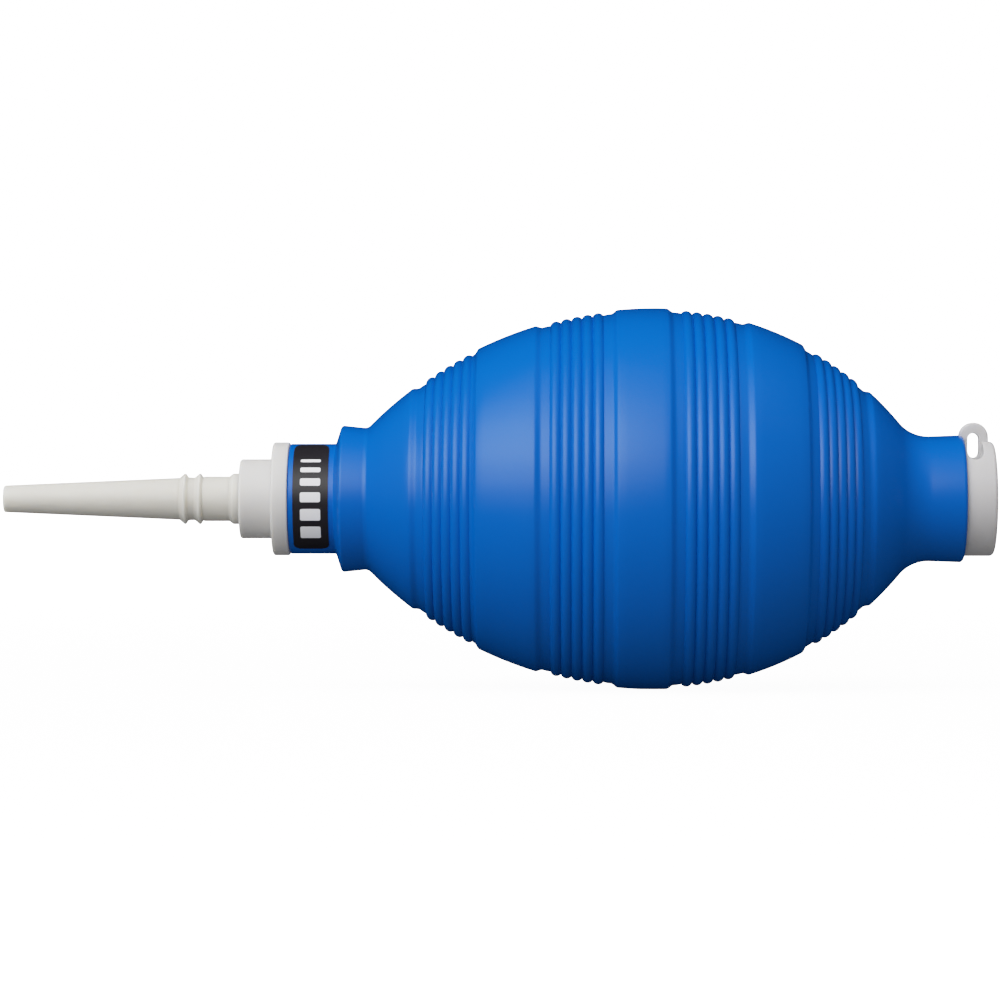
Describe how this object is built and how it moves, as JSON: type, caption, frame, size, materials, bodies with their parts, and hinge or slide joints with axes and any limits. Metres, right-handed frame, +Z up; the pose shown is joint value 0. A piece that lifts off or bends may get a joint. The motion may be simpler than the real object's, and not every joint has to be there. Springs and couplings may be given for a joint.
{
  "type": "dust blower bulb",
  "caption": "Hand-squeezed air blower: a ribbed barrel-shaped rubber bulb with a slim tapered nozzle, a valved rear plug and a lanyard tab.",
  "frame": {"origin": "on the floor plane under the middle of the whole length, level with the lowest point of the belly", "axes": "+X along the tool's axis towards the rear plug, nozzle towards -X, +Z up towards the lanyard tab, label facing -Y"},
  "size_m": [0.182, 0.07, 0.07],
  "materials": {
    "bulb_rubber": "satin blue elastomer",
    "nozzle_plastic": "matt warm light grey",
    "holder_plastic": "matt light grey",
    "plug_plastic": "matt light grey",
    "valve_rubber": "matt dark elastomer",
    "valve_plastic": "matt natural white",
    "label_film": "glossy black film"
  },
  "bodies": {
    "blower": {"bulb": "bulb_rubber", "nozzle_holder": "holder_plastic", "outlet_valve_seat": "valve_plastic", "rear_plug": "plug_plastic", "intake_valve_cage": "valve_plastic", "label": "label_film"},
    "near_side": {"near_side_wall": "bulb_rubber"},
    "far_side": {"far_side_wall": "bulb_rubber"},
    "nozzle": {"nozzle": "nozzle_plastic"},
    "outlet_disc": {"outlet_valve_disc": "valve_rubber"},
    "intake_disc": {"intake_valve_disc": "valve_rubber"}
  },
  "joints": [
    {"name": "squeeze_near", "type": "slide", "parent": "blower", "child": "near_side", "axis": [0, 1, 0], "range_m": [0, 0.012], "stiffness_N_per_m": 800},
    {"name": "squeeze_far", "type": "slide", "parent": "blower", "child": "far_side", "axis": [0, -1, 0], "range_m": [0, 0.012], "stiffness_N_per_m": 800},
    {"name": "nozzle_pull", "type": "slide", "parent": "blower", "child": "nozzle", "axis": [-1, 0, 0], "range_m": [0, 0.015]},
    {"name": "outlet_valve_lift", "type": "slide", "parent": "blower", "child": "outlet_disc", "axis": [-1, 0, 0], "range_m": [0, 0.0012]},
    {"name": "intake_valve_lift", "type": "slide", "parent": "blower", "child": "intake_disc", "axis": [-1, 0, 0], "range_m": [0, 0.0012]}
  ],
  "couplings": [
    {"joint": "squeeze_far", "follows": "squeeze_near", "ratio": 1}
  ]
}
